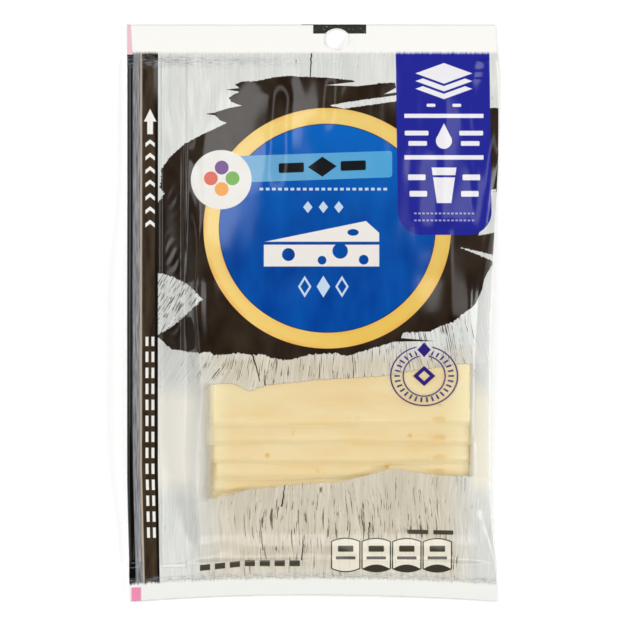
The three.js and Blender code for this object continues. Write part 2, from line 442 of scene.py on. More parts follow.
zipper_plastic = zipper_material()
zipper_rows = np.linspace(FOOT_SEAL + 1.0, HEAD_SEAL - 1.0, 90)
for strip_name, side in (("zipper_front", 1), ("zipper_back", -1)):
    pinch = 1 - 0.75 * welded(zipper_rows)
    lift = side_height(zipper_rows) * pinch + seal_height(ZIPPER_MIDDLE) * (1 - pinch)
    path = np.stack([np.full_like(zipper_rows, ZIPPER_MIDDLE), zipper_rows, lift], -1)
    strip = swept_mesh(strip_name, zipper_strip(side) * (1, 0.8), path)
    add_piece(strip_name, strip, zipper_plastic)

# Back film. The rear half of the folded film: it lies flat under the slices, turns up to
# the welds, the zipper and the side folds, and is printed plain white.

FILM_THICKNESS = 0.16
FILM_CLEARANCE = 0.36
SEAL_GAP = 0.24
SIDE_DRAW_IN = 3.9
DRAW_IN_LEFT_AT_FOOT = 0.2
HEAD_TAPER = 1.3
LEFT_FOOT_TAPER = 0.9
FOOT_CURVE = 2.6
FOLD_START = STACK_RIGHT - 2.0
SLOPE_END = STACK_LEFT - 1.0
SLOPE_SWAY = 2.2
FOLD_CREASE = -66.2
FOLD_RISE = 1.5
FOLD_SINK = 0.5
FOLD_ROUND = 1.3
BAND_THICKNESS = 1.3
STEPS_FROM = -88
STEPS_TO = -38
RIPPLES_FROM = 90
ZIPPER_RISE = 0.7
ZIPPER_FLANK = 0.6
HOLE_CENTRE = (9.2, 106.4)
HOLE_WIDTH = 10.0
HOLE_LENGTH = 8.1
HOLE_SIDES = 48
PLUG_FOOT = -8.0
PLUG_TOP = 12.0


def left_edge(y):
    """Place of the left fold: straight, and drawn in a little at the foot."""
    return -HALF_WIDTH + LEFT_FOOT_TAPER * ease(-60, -HALF_LENGTH, y)


def right_edge(y):
    """Place of the right fold: drawn in where the stack is thick, and tapered at the head."""
    eased = (1 - DRAW_IN_LEFT_AT_FOOT) * ease(-62, -HALF_LENGTH, y)
    drawn = ease(75, -20, y) * (1 - eased)
    return HALF_WIDTH - SIDE_DRAW_IN * drawn - HEAD_TAPER * ease(90, HALF_LENGTH, y)


def film_grid(wide_step, long_step, fine):
    """Grid of places on the film, closer together at the folds, the zipper, the welds and
    the slices' steps. x is stretched so that it ends on the side folds of each row."""
    y = np.concatenate([
        np.linspace(-HALF_LENGTH, FOOT_SEAL - 1, int(16 * fine), endpoint=False),
        np.linspace(FOOT_SEAL - 1, STEPS_FROM, int(20 * fine), endpoint=False),
        np.linspace(STEPS_FROM, STEPS_TO, int(62 * fine), endpoint=False),
        np.linspace(STEPS_TO, RIPPLES_FROM, int(128 / long_step), endpoint=False),
        np.linspace(RIPPLES_FROM, HEAD_SEAL + 1, int(24 * fine), endpoint=False),
        np.linspace(HEAD_SEAL + 1, HALF_LENGTH, int(14 * fine)),
    ])[:, None]
    left = left_edge(y)
    right = right_edge(y)
    tube = 1 - np.cos(np.linspace(0, math.pi / 2, int(14 * fine), endpoint=False))
    fold = np.sin(np.linspace(0, math.pi / 2, int(22 * fine)))
    x = np.concatenate([
        left + (FOLD_CREASE - left) * tube,
        np.linspace(FOLD_CREASE, ZIPPER_START - 1, int(12 * fine), endpoint=False) + 0 * y,
        np.linspace(ZIPPER_START - 1, SLOPE_END, int(38 * fine), endpoint=False) + 0 * y,
        np.linspace(SLOPE_END, FOLD_START, int(102 / wide_step), endpoint=False) + 0 * y,
        FOLD_START + (right - FOLD_START) * fold,
    ], axis=1)
    return x, y + 0 * x


def band_half(x, y, tube):
    """Half thickness of the tear band and the zipper; the round fold swells it by tube."""
    left = left_edge(y)
    across = np.clip((x - left) / (FOLD_CREASE - left), 0, 1)
    close = np.clip((x - left) / FOLD_ROUND, 0, 1)
    on_zipper = ease(ZIPPER_START - ZIPPER_FLANK, ZIPPER_START, x)
    on_zipper = on_zipper * (1 - ease(ZIPPER_END, ZIPPER_END + ZIPPER_FLANK, x))
    body = BAND_THICKNESS / 2 * np.sqrt(1 - (1 - close) ** 2)
    return body + tube * np.sin(np.pi * np.sqrt(across)) + ZIPPER_RISE * on_zipper


def across_share(x, y):
    """Share of the filled height at x: an S-curve up from the zipper on the left, whose
    upper end wanders, and a quarter ellipse down to the fold on the right."""
    t = np.clip((x - FOLD_START) / (right_edge(y) - FOLD_START), 0, 1)
    slope_end = SLOPE_END - SLOPE_SWAY * (0.5 + 0.5 * np.sin(y / 11 + 1))
    slope = ease(ZIPPER_END - ZIPPER_FLANK, slope_end, x)
    return np.where(x > STACK_CENTRE, np.sqrt(1 - t * t), slope)


def film_height(x, y, middle, tube, half_gap):
    """Height of one film: middle over the slices, the band at the left, the meeting line
    at the right, and the weld at both ends. Negative tube and half_gap give the back."""
    side = side_height(y)
    band = math.copysign(1, half_gap) * band_half(x, y, abs(tube))
    base = np.where(x > STACK_CENTRE, side, side + band)
    filled = base + (middle - base) * across_share(x, y)
    weld = welded(y)
    return filled * (1 - weld) + (seal_height(x) + half_gap) * weld


def bowed(x, y):
    """Place along the pack, with the cut foot edge bowed in at its middle."""
    bow = 1 - np.minimum(1, (x / (HALF_WIDTH - 1)) ** 2)
    return y + FOOT_CURVE * bow * ease(-80, -HALF_LENGTH, y)


def offset(surface, distance):
    """The surface moved along its normals, the cross products of its grid directions."""
    normal = np.cross(np.gradient(surface, axis=1), np.gradient(surface, axis=0))
    normal /= np.linalg.norm(normal, axis=-1, keepdims=True)
    return surface + distance * normal


def weld_relief(x, y):
    """Fine ripples along the welds' inner edges, pressed by the hot bars, slanting ones in
    the right corner at the head, and short tension wrinkles that run from the welds into
    the open film. Both films share them."""
    near_head = np.exp(-(((y - 97.0) / 3.4) ** 2)) * (0.6 + 0.4 * np.sin(x / 9 + 1))
    ripples = 0.09 * near_head * np.sin(2 * np.pi * (y + 0.5 * np.sin(x / 7)) / 2.7)
    near_foot = np.exp(-(((y + 104.5) / 2.8) ** 2))
    ripples += 0.09 * near_foot * np.sin(2 * np.pi * (y + 1.1 * np.sin(x / 11 + 1)) / 3.6)
    corner = ease(36, 60, x) * np.exp(-(((y - 91) / 10) ** 2))
    ripples += 0.04 * corner * np.sin(2 * np.pi * (y + 0.2 * x) / 2.6 + np.sin(x / 2.3))
    from_head = ease(72, 97, y) * (1 - ease(98, 101, y))
    from_foot = ease(-88, -100, y) * (1 - ease(-101, -104, y))
    tension = np.sin(x / 1.5 + 2 * np.sin(x / 7.7)) * (0.5 + 0.5 * np.sin(x / 5.9 + 2))
    return ripples + 0.08 * (from_head + from_foot) * tension


def free_share(x, y):
    """1 over the open film, falling to 0 at the side folds."""
    left = left_edge(y)
    right = right_edge(y)
    return ease(left + 9, left + 15, x) * ease(right, right - 4, x)


def back_height(x, y):
    """Height of the back film: flat under the slices and lifted towards the welds."""
    lifted = np.maximum(ease(STACK_HEAD + 8, HEAD_SEAL, y), ease(STACK_FOOT, FOOT_SEAL, y))
    z = film_height(x, y, SEAL_HEIGHT * lifted, -FOLD_SINK, -SEAL_GAP / 2)
    return z + free_share(x, y) * ease(0.3, 1.0, z) * weld_relief(x, y)


def back_surface():
    """The back film from below."""
    x, y = film_grid(2.0, 2.0, 0.7)
    return np.stack([x, bowed(x, y), back_height(x, y)], -1)


def cut_hang_hole(piece):
    """Punch the oval hang hole through a film with a plug that is then thrown away."""
    count = HOLE_SIDES
    turn = np.linspace(0, 2 * math.pi, count, endpoint=False)
    across = HOLE_CENTRE[0] + HOLE_WIDTH / 2 * np.cos(turn)
    along = HOLE_CENTRE[1] + HOLE_LENGTH / 2 * np.sin(turn)
    ring = np.stack([across, along, 0 * turn], -1)
    points = np.concatenate([ring + (0, 0, PLUG_FOOT), ring + (0, 0, PLUG_TOP)]) * MM
    wall = [(i, (i + 1) % count, (i + 1) % count + count, i + count) for i in range(count)]
    faces = wall + [tuple(range(count - 1, -1, -1)), tuple(range(count, 2 * count))]
    plug_mesh = bpy.data.meshes.new("hole_plug")
    plug_mesh.from_pydata(points.tolist(), [], faces)
    plug = bpy.data.objects.new("hole_plug", plug_mesh)
    bpy.context.scene.collection.objects.link(plug)
    cut = piece.modifiers.new("hang_hole", "BOOLEAN")
    cut.operation = "DIFFERENCE"
    cut.solver = "MANIFOLD"
    cut.object = plug
    bpy.context.view_layer.update()
    evaluated = piece.evaluated_get(bpy.context.evaluated_depsgraph_get())
    shaped = bpy.data.meshes.new_from_object(evaluated)
    piece.modifiers.clear()
    while len(shaped.materials) > 1:
        shaped.materials.pop()
    piece.data = shaped
    bpy.data.objects.remove(plug)


def back_material():
    """White-printed film, faintly streaked along the pack."""
    material, surface, x, y = new_material("back_print", {"Roughness": 0.28})
    streak = x.noise(y, 1.1, 22.0, 3.0, detail=3.0).within(0.45, 0.75)
    colour = (streak * 0.25).paint((250, 249, 243), (228, 228, 222))
    colour.feed(surface, "Base Color")
    return material


back_print = back_material()
back_outer = back_surface()
back_mesh = shell_mesh("film_back", offset(back_outer, FILM_THICKNESS), back_outer)
film_back = add_piece("film_back", back_mesh, back_print)
cut_hang_hole(film_back)

# Front film. The printed half of the folded film, stretched over the slices: it carries
# the ink on its inside, is clear over the slices, and shows every crease as gloss.

AIR_UNDER_FILM = 2.4
ENVELOPE_REACH = 4.4
# Soft folds as (x0, y0, x1, y1, half width, height), from their head end to their foot end
FOLDS = (
    (14.0, 93.0, 12.0, 74.0, 2.4, 0.20),
    (28.0, 92.0, 30.0, 60.0, 2.6, 0.22),
    (-46.8, 62.0, -44.5, 8.0, 1.5, 0.30),
    (-43.5, 24.0, -38.5, -14.0, 1.3, 0.30),
    (-48.4, 20.0, -44.0, -22.0, 0.9, 0.24),
    (-46.0, -28.0, -45.0, -66.0, 1.8, 0.28),
    (38.0, 98.0, 39.5, 34.0, 2.0, 0.20),
    (50.0, 100.0, 50.5, 28.0, 1.5, 0.20),
    (60.0, 98.0, 63.0, 40.0, 1.5, 0.24),
    (63.5, 28.0, 62.5, -10.0, 1.0, -0.20),
    (64.0, -12.0, 65.5, -56.0, 1.5, -0.30),
    (66.0, -44.0, 61.5, -72.0, 1.5, 0.30),
    (-58.0, -70.0, -50.0, -98.0, 2.0, 0.22),
    (-30.0, -88.0, -42.0, -99.0, 2.6, 0.30),
    (10.0, -90.0, 22.0, -99.0, 2.6, -0.24),
    (44.0, -86.0, 60.0, -99.0, 2.6, 0.30),
)
# Slack facets as (edge, crease, foot, head, rise, width of the drop, lean)
FACETS = (
    (-39.0, -18.5, 52.0, 86.0, 2.1, 9.0, 0.07),
    (-50.0, -31.0, 8.0, 50.0, 0.4, 20.0, 0.35),
    (-12.0, 3.0, 76.0, 91.0, 1.4, 6.0, 0.07),
    (10.0, 20.0, 76.0, 90.0, 0.6, 6.0, 0.07),
    (32.0, 40.0, 30.0, 62.0, 0.6, 8.0, 0.07),
    (62.5, 53.0, -4.0, 34.0, 1.45, 18.0, 0.02),
)


def film_over_slices(y):
    """Height of the film over the stack: the highest slice within reach of y, smoothed,
    as a stretched film bridges from edge to edge."""
    along = np.arange(-HALF_LENGTH, HALF_LENGTH, 0.2)
    height = layers(along, 0)
    count = int(ENVELOPE_REACH / 0.2)
    padded = np.pad(height, count, "edge")
    highest = np.lib.stride_tricks.sliding_window_view(padded, 2 * count + 1).max(-1)
    weights = np.hanning(2 * count + 3)[1:-1]
    smooth = np.convolve(np.pad(highest, count, "edge"), weights / weights.sum(), "valid")
    return np.interp(y, along, smooth)


def fold_relief(x, y):
    """Sum of soft folds: each has a bell-shaped section, bows a little and fades to nothing
    at both ends."""
    height = np.zeros_like(x)
    for x0, y0, x1, y1, half_wide, rise in FOLDS:
        length = math.hypot(x1 - x0, y1 - y0)
        ahead = ((x - x0) * (x1 - x0) + (y - y0) * (y1 - y0)) / length
        aside = ((x - x0) * (y1 - y0) - (y - y0) * (x1 - x0)) / length
        aside = aside + 0.6 * half_wide * np.sin(ahead / length * 5 + x0)
        share = np.clip(ahead / length, 0, 1)
        height += rise * np.exp(-((aside / half_wide) ** 2)) * np.sin(np.pi * share) ** 0.7
    return height


def facet_relief(x, y):
    """Broad flat facets of slack film: each climbs evenly to its crease and drops away
    steeply behind it, and fades towards both ends of the crease."""
    height = np.zeros_like(x)
    for edge, crease, foot, head, rise, drop_width, lean in FACETS:
        place = x - lean * (y - foot)
        climb = np.clip((place - edge) / (crease - edge), 0, 1)
        behind = (place - crease) * math.copysign(1, crease - edge)
        drop = 1 - ease(0, drop_width, behind)
        along = ease(foot - 9, foot + 5, y) * (1 - ease(head - 4, head + 5, y))
        height += rise * climb * drop * along
    return height


def slack_relief(x, y):
    """Slow crossing waves where the film hangs loose: above the stack and along the right
    side, and weaker over the slices."""
    loose = 0.25 + 0.75 * ease(35, 75, y) + 0.3 * ease(52, 66, x)
    waves = 0.42 * np.sin(x / 6.1 + y / 21 + 0.6) * np.sin(y / 15.5 - x / 31 + 0.4)
    waves += 0.20 * np.sin(x / 3.3 - y / 11 + 2.1) * np.sin(y / 9 + x / 17)
    waves += 0.06 * np.sin(x / 1.9 + y / 9) * np.sin(y / 4.6 - x / 8 + 1)
    return loose * waves


def zipper_relief(x, y):
    """The strips pressed through the film: two straight lines at their inner edge, and
    crooked puckers between the ribs."""
    inner = np.exp(-(((x + 50.6) / 0.3) ** 2)) + np.exp(-(((x + 49.3) / 0.35) ** 2))
    outer = np.exp(-(((x + 58.4) / 0.4) ** 2))
    across = ease(-58, -56.6, x) * (1 - ease(-52.6, -51, x))
    bulge = 0.3 * ease(-58.4, -51.6, x) * (1 - ease(-51.0, -49.6, x))
    slanted = np.sin(y / 0.42 + 2.2 * np.sin(y / 4.3) + 1.2 * (x + 54))
    crossed = np.sin(y / 0.66 - 0.8 * (x + 54) + 2.4 * np.sin(y / 3.7 + 0.4 * x))
    seen = 0.25 + 0.75 * ease(58, 40, y) * ease(-24, -14, y)
    pucker = across * (0.06 * slanted + 0.07 * crossed) * (0.7 + 0.3 * np.sin(y / 13 + 1))
    lines_seen = 1 - 0.7 * ease(-22, -34, y) * ease(-76, -66, y)
    ribs = (0.20 * inner + 0.14 * outer) * lines_seen
    return (ribs + (bulge + pucker) * seen) * (1 - welded(y))


def front_surface():
    """The front film from above: the filled height with every relief laid on it, all of
    it fading out at the side folds and, but for the ripples, in the welds."""
    x, y = film_grid(1.2, 1.2, 1.0)
    air = AIR_UNDER_FILM * np.sin(np.pi * ease(HEAD_SEAL, 0, y))
    rise = SEAL_HEIGHT * ease(STACK_HEAD - 20, HEAD_SEAL, y)
    arch = 0.85 * air * np.minimum(1, ((x - STACK_CENTRE) / (SLICE_WIDTH / 2)) ** 4)
    middle = film_over_slices(y) + FILM_CLEARANCE + air + rise - arch
    z = film_height(x, y, middle, FOLD_RISE, SEAL_GAP / 2)
    free = free_share(x, y)
    flat = 1 - welded(y)
    slack = fold_relief(x, y) + slack_relief(x, y) + facet_relief(x, y)
    z = z + free * (flat * slack + zipper_relief(x, y) + weld_relief(x, y))
    z = np.maximum(z, back_height(x, y) + SEAL_GAP * np.minimum(1, free + welded(y)))
    return np.stack([x, bowed(x, y), z], -1)


def inked(distance, soft=0.18):
    """1 where a distance in millimetres is negative, across an edge that is soft wide."""
    return distance.within(soft / 2, -soft / 2)


def nearest(*shapes):
    """Distance outside several shapes taken together: the least of their distances."""
    least = shapes[0]
    for shape in shapes[1:]:
        least = least.least(shape)
    return least


def oval(x, y, centre, radii):
    """Distance outside an oval, true close to its edge."""
    across = (x - centre[0]) * (1 / radii[0])
    along = (y - centre[1]) * (1 / radii[1])
    return ((across * across + along * along).maths("SQRT") - 1) * min(radii)


def box(x, y, centre, halves, corner):
    """Distance outside a box with rounded corners."""
    across = abs(x - centre[0]) - (halves[0] - corner)
    along = abs(y - centre[1]) - (halves[1] - corner)
    out_x = across.most(0.0)
    out_y = along.most(0.0)
    corner_out = (out_x * out_x + out_y * out_y).maths("SQRT")
    return corner_out + across.most(along).least(0.0) - corner


def rhombus(x, y, centre, halves):
    """Distance outside a rhombus standing on its corner."""
    across = abs(x - centre[0]) * (1 / halves[0])
    along = abs(y - centre[1]) * (1 / halves[1])
    steep = halves[0] * halves[1] / math.hypot(*halves)
    return (across + along - 1) * steep


def stroke(x, y, start, end, half_start, half_end):
    """Distance outside a straight stroke whose half width runs evenly between its ends."""
    length = math.hypot(end[0] - start[0], end[1] - start[1])
    step_x = (end[0] - start[0]) / length
    step_y = (end[1] - start[1]) / length
    ahead = (x - start[0]) * step_x + (y - start[1]) * step_y
    aside = (y - start[1]) * step_x - (x - start[0]) * step_y
    half = ahead * ((half_end - half_start) / length) + half_start
    return (abs(aside) - half).most(ahead * -1.0).most(ahead - length)


def polygon(x, y, corners):
    """Distance outside a convex shape whose corners are given anticlockwise."""
    outside = None
    for (x0, y0), (x1, y1) in zip(corners, corners[1:] + corners[:1]):
        length = math.hypot(x1 - x0, y1 - y0)
        side = (x - x0) * ((y1 - y0) / length) - (y - y0) * ((x1 - x0) / length)
        outside = side if outside is None else outside.most(side)
    return outside


def profile(x, points):
    """Height at x of the straight lines drawn between the given (place, height) points."""
    places, heights = zip(*points)
    low = min(heights)
    span = max(heights) - low
    width = places[-1] - places[0]
    stops = [((p - places[0]) / width, (h - low) / span) for p, h in points]
    share = x.within(places[0], places[-1])
    return share.node("ShaderNodeValToRGB", {"stops": stops}, {"Fac": share}) * span + low


# Outlines of the brushed dark patch, of the clear window and of the white wedge
BRUSH_LEFT = (
    (42, -60.8), (46, -57.7), (49, -59.4), (56, -58.6), (60, -56), (63, -53), (65.5, -50),
    (69.5, -42.6), (73.8, -33.3), (74.6, -36), (76.8, -38.2), (77.2, -42), (77.8, -38),
    (79.4, -33), (80.4, -27.6), (82, -32), (83.6, -32.4), (86, -28.4), (86.7, -34),
    (87.3, -28.6), (88.6, -30.4), (90, -27.4), (94, -20),
)
BRUSH_TOP = (
    (-34, 89.6), (-22, 90), (-15, 91.5), (-9, 92.1), (-7, 91.8), (6, 91.3), (16, 90.2),
    (16.4, 88.9), (27, 89.2), (32, 89.4), (33, 79.6), (72, 79.6),
)
BRUSH_FOOT = (
    (-60, -9.5), (-55, -14), (-44, -15.6), (-40, -15), (-38, -16.4), (-28, -15.4),
    (-24, -16.3), (-19, -16), (-15.5, -17.6), (-10, -18.3), (-1, -16.1), (9, -15.5),
    (13, -16.6), (24, -13.4), (34, -10.3), (34.5, -7.6), (45, -7.2), (49, -5.2), (54, -3.4),
    (59, 0.4), (62.4, 3), (66, 9.2), (65.6, 13), (69, 18), (72, 22),
)
WINDOW_TOP = (
    (-60, -30), (-42, -27.6), (-31, -27.1), (-24.5, -30.2), (-18, -27.8), (-10, -27),
    (0, -25.9), (26, -24.4), (38, -22.4), (55, -19.8), (72, -19.2),
)
WINDOW_FOOT = (
    (-60, -69), (-42, -72.2), (-38, -71.6), (-24.5, -68.2), (-10, -66.6), (11, -65.3),
    (21, -62.7), (29.4, -60.3), (37, -60.9), (45, -62.4), (61, -63.2), (72, -64),
)
WHITE_WEDGE = [(-61, -9), (-54.4, -5.2), (-42.6, 5.2), (-48.5, 11.2), (-54, 13.9), (-61, 15.8)]


def brushed_patch(x, y):
    """Masks of the dark patch and of the white wedge that cuts into it. The patch is a broad
    brush stroke with torn, bristly edges, and streaks of bare wood cross it."""
    torn = y.noise(x, 0.55, 7.0, 31.0) - 0.5
    chipped = x.noise(y, 0.9, 2.4, 32.0, detail=3.0) - 0.5
    left = x - profile(y, BRUSH_LEFT) + torn * 2.2
    top = profile(x, BRUSH_TOP) - y + chipped * 0.9
    foot = y - profile(x, BRUSH_FOOT) + chipped * 2.0
    patch = inked(left.least(top).least(foot) * -1.0)
    spike = inked(stroke(x, y, (30.0, -10.2), (47.0, -10.8), 0.9, 0.0))
    wedge = inked(polygon(x, y, WHITE_WEDGE) + chipped * 1.6)
    barb = inked(stroke(x, y, (-59.5, -2.6), (-51.6, -3.6), 1.3, 0.0) + chipped)
    streak = polygon(x, y, [(6.6, 80.5), (12.0, 79.3), (34.0, 82.4), (34.0, 84.7), (13.0, 81.8)])
    bare_streaks = nearest(
        polygon(x, y, [(5.3, 88.4), (17.0, 88.0), (25.0, 88.9), (25.0, 90.0), (16.4, 89.7)]),
        stroke(x, y, (27.6, 84.9), (33.0, 86.7), 0.0, 1.0),
        streak + chipped * 0.8,
        stroke(x, y, (57.4, 25.2), (71.0, 21.0), 0.1, 1.3) + chipped * 1.2,
        stroke(x, y, (64.6, 47.0), (71.0, 47.6), 0.0, 0.5),
        polygon(x, y, [(64, 30), (72, 31.5), (72, 47), (68, 47)]) + chipped,
    )
    bare = wedge.most(inked(bare_streaks))
    return patch.most(spike) * (1 - bare), wedge * (1 - barb)


def clear_window(x, y):
    """Mask of the unprinted window: its upper and lower edges are torn along the grain,
    and it turns milky towards both sides, where the film lies close to the back; the milky
    sides also reach over the hollow next to the stack as painted light that hides its shade."""
    torn = x.noise(y, 0.8, 3.4, 33.0, detail=3.0) - 0.5
    top = profile(x, WINDOW_TOP) - y + torn * 1.6
    foot = y - profile(x, WINDOW_FOOT) + torn * 2.2
    soft = x.within(-39.0, -48.0) * 7.0 + 0.25
    open_film = (top.least(foot) / soft + 0.5).within(0.0, 1.0)
    # The milky sides are partly the film touching the back and partly painted light over shade.
    milky = (x.within(-38.0, -44.5) * 0.9).most(x.within(60.0, 62.4) * 0.95)
    return open_film * (1 - milky)


def wood(x, y):
    """Whitewashed boards: pale grey with long streaks, fine broken cracks that crowd near
    the window, and a few long splits. Over the slices the thin ink looks warmer. Next to
    them the film is painted the bright white of the back's inside: painted light over the
    shade of the hollow there."""
    sway = (x.noise(y, 16.0, 36.0, 21.0) - 0.5) * 7.0
    lean = x.within(-8.0, -50.0) * 0.65 - x.within(15.0, 58.0) * 0.3
    grain = x + sway - lean * (y + 18.0).most(-14.0).least(14.0)
    streak = grain.noise(y, 0.6, 15.0, 22.0, detail=3.0).within(0.38, 0.70)
    board = grain.noise(y, 6.0, 40.0, 23.0).within(0.35, 0.68)
    colour = (board * 0.55).paint((228, 229, 224), (209, 211, 208))
    over_stack = (x + 45.0).least(62.0 - x).least((-13.0 - y) * 2.0).least(y + 108.0)
    over_stack = over_stack.within(-3.0, 12.0)
    warm = board.paint((222, 213, 192), (208, 198, 176))
    colour = (over_stack * 0.9).paint(colour, warm)
    dense_foot = (x + 34.0).least(62.0 - x).least(-61.0 - y).least(y + 104.0).within(-4.0, 12.0)
    dense_head = (x + 54.0).least(63.0 - x).least(3.0 - y).least(y + 31.0).within(-2.0, 8.0)
    dense = dense_foot.most(dense_head)
    shadow = streak * (dense * 0.22 + 0.38)
    colour = shadow.paint(colour, over_stack.paint((180, 182, 180), (176, 164, 142)))
    fine = grain.noise(y, 0.5, 18.0, 24.0, detail=1.0)
    broken = x.noise(y, 1.5, 5.5, 25.0, detail=2.0)
    crack = (fine + broken * 0.6 + dense * 0.15).within(1.05, 1.13)
    colour = (crack * 0.85).paint(colour, (70, 62, 50))
    # Painted light: next to the stack the film takes the lit white of the back's inside in place
    # of the hollow's shade.
    painted_light_margin = x.within(-41.0, -48.0).most(x.within(60.5, 63.5)) * abs(y + 49.0).within(24.0, 15.0)
    inside = x.within(-30.0, 30.0).paint((252, 248, 238), (243, 236, 216))
    colour = (painted_light_margin * 0.95).paint(colour, inside)
    wave = (y.noise(x, 1.6, 60.0, 26.0) - 0.5) * 0.9
    split_lines = (
        ((-0.6, 101.0), (-1.1, 91.0), 0.30, 0.20), ((-23.4, -16.0), (-20.4, -26.5), 0.32, 0.15),
        ((-18.4, -24.0), (-18.6, -28.6), 0.12, 0.32), ((-11.0, -66.6), (-12.0, -75.0), 0.14, 0.34),
        ((-13.4, -75.0), (-14.0, -80.0), 0.22, 0.08), ((-20.6, -80.0), (-19.4, -92.0), 0.1, 0.2),
        ((22.0, -81.0), (21.0, -90.0), 0.3, 0.1), ((-3.4, -86.0), (-4.4, -96.0), 0.12, 0.3),
    )
    waved = x + wave
    splits = nearest(*(stroke(waved, y, *split) for split in split_lines))
    return inked(splits).paint(colour, (44, 38, 32))


def wedge_hatching(x, y):
    """Short slanted cracks that fan across the white wedge."""
    turned_x = (x + 60.0) * 0.86 + (y - 4.0) * -0.5
    turned_y = (x + 60.0) * 0.5 + (y - 4.0) * 0.86
    return turned_x.noise(turned_y, 0.5, 5.0, 27.0, detail=1.5).within(0.54, 0.62)


def disc_print(x, y, colour):
    """The gold ring with its toasted edges, the blue disc with faint dark splits, and on it
    a pale bar and a plain picture of a cheese wedge between small ornaments."""
    ring = oval(x, y, (5.5, 32.9), (47.9, 46.6))
    toast = x.noise(y, 13.0, 11.0, 41.0).within(0.38, 0.64)
    rim = (abs(ring + 3.2) - 1.2).within(0.0, 2.4)
    # Painted sheen: the gold is lighter towards the top and the left, where the key light falls.
    gold = y.within(-14.0, 80.0).paint((230, 190, 89), (235, 203, 117))
    gold = x.within(20.0, -42.0).paint(gold, (244, 211, 127))
    gold = (toast * rim * 0.8).paint(gold, (236, 160, 70))
    colour = inked(ring).paint(colour, gold)
    inner = oval(x, y, (5.5, 32.9), (41.6, 40.2))
    colour = inked(inner - 0.35).paint(colour, (20, 50, 96))
    shade = x.noise(y, 11.0, 26.0, 42.0).within(0.35, 0.7)
    blue = shade.paint((2, 62, 146), (8, 82, 170))
    # Painted sheen: the blue is lighter towards the top.
    blue = (y.within(20.0, 74.0) * 0.7).paint(blue, (14, 108, 200))
    split = (x + (y.noise(x, 3.0, 80.0, 43.0) - 0.5) * 1.2).noise(y, 0.5, 13.0, 44.0, detail=1.0)
    blue = (split.within(0.72, 0.8) * 0.7).paint(blue, (10, 44, 104))
    colour = inked(inner).paint(colour, blue)
    cream = (238, 232, 226)
    body = polygon(x, y, [(-19.0, 18.0), (25.6, 18.0), (25.6, 26.4), (-19.0, 26.4)])
    roof = polygon(x, y, [(-18.4, 27.6), (25.6, 27.6), (25.6, 31.0), (20.5, 35.6)])
    holes = nearest(
        oval(x, y, (-9.5, 22.6), (2.5, 2.5)), oval(x, y, (3.5, 20.4), (1.7, 1.7)),
        oval(x, y, (10.5, 24.0), (3.0, 3.0)), oval(x, y, (19.6, 20.6), (1.9, 1.9)),
        oval(x, y, (15.5, 31.2), (2.2, 1.3)),
    )
    icon = inked(body.least(roof)) * inked(holes * -1.0)
    colour = icon.paint(colour, cream)
    beads = abs((x + 20.0).maths("WRAP", 1.2, -1.2))
    rule = inked(abs(y - 48.0) - 0.5) * inked(beads - 0.7) * inked(abs(x - 4.0) - 24.9)
    lozenges = rhombus(abs(x - 4.0) - 7.2, y, (0.0, 10.2), (2.6, 4.2))
    lozenges = abs(lozenges + 0.4) - 0.38
    lozenges = lozenges.least(rhombus(x, y, (4.0, 10.2), (2.6, 4.2)))
    small = rhombus(abs(x - 4.0) - 6.0, y, (0.0, 41.0), (1.8, 2.3))
    small = small.least(rhombus(x, y, (4.0, 41.0), (1.8, 2.3)))
    colour = rule.most(inked(lozenges)).most(inked(small)).paint(colour, (196, 216, 236))
    tilted = y - x * 0.035
    bar = box(x, tilted, (-0.3, 56.7), (31.0, 5.15), 1.2)
    pale = x.within(-30.0, 30.0).paint((112, 168, 206), (78, 164, 214))
    colour = inked(bar).paint(colour, pale)
    dark_bar = box(abs(x - 3.6), tilted, (12.0, 56.6), (4.9, 1.9), 0.6)
    dark_bar = dark_bar.least(rhombus(x, tilted, (3.6, 56.6), (5.6, 3.9)))
    return inked(dark_bar).paint(colour, (24, 26, 30))


def badge_print(x, y, colour):
    """A round white badge with four coloured dots."""
    shape = oval(x, y, (-35.6, 51.7), (11.8, 11.5))
    colour = inked(shape).paint(colour, (229, 226, 220))
    dots = (
        ((-39.6, 52.2), (214, 84, 58)), ((-35.4, 56.4), (102, 40, 132)),
        ((-31.2, 52.2), (104, 168, 56)), ((-35.4, 48.0), (236, 154, 44)),
    )
    for centre, paint in dots:
        colour = inked(oval(x, y, centre, (2.7, 2.7))).paint(colour, paint)
    return colour


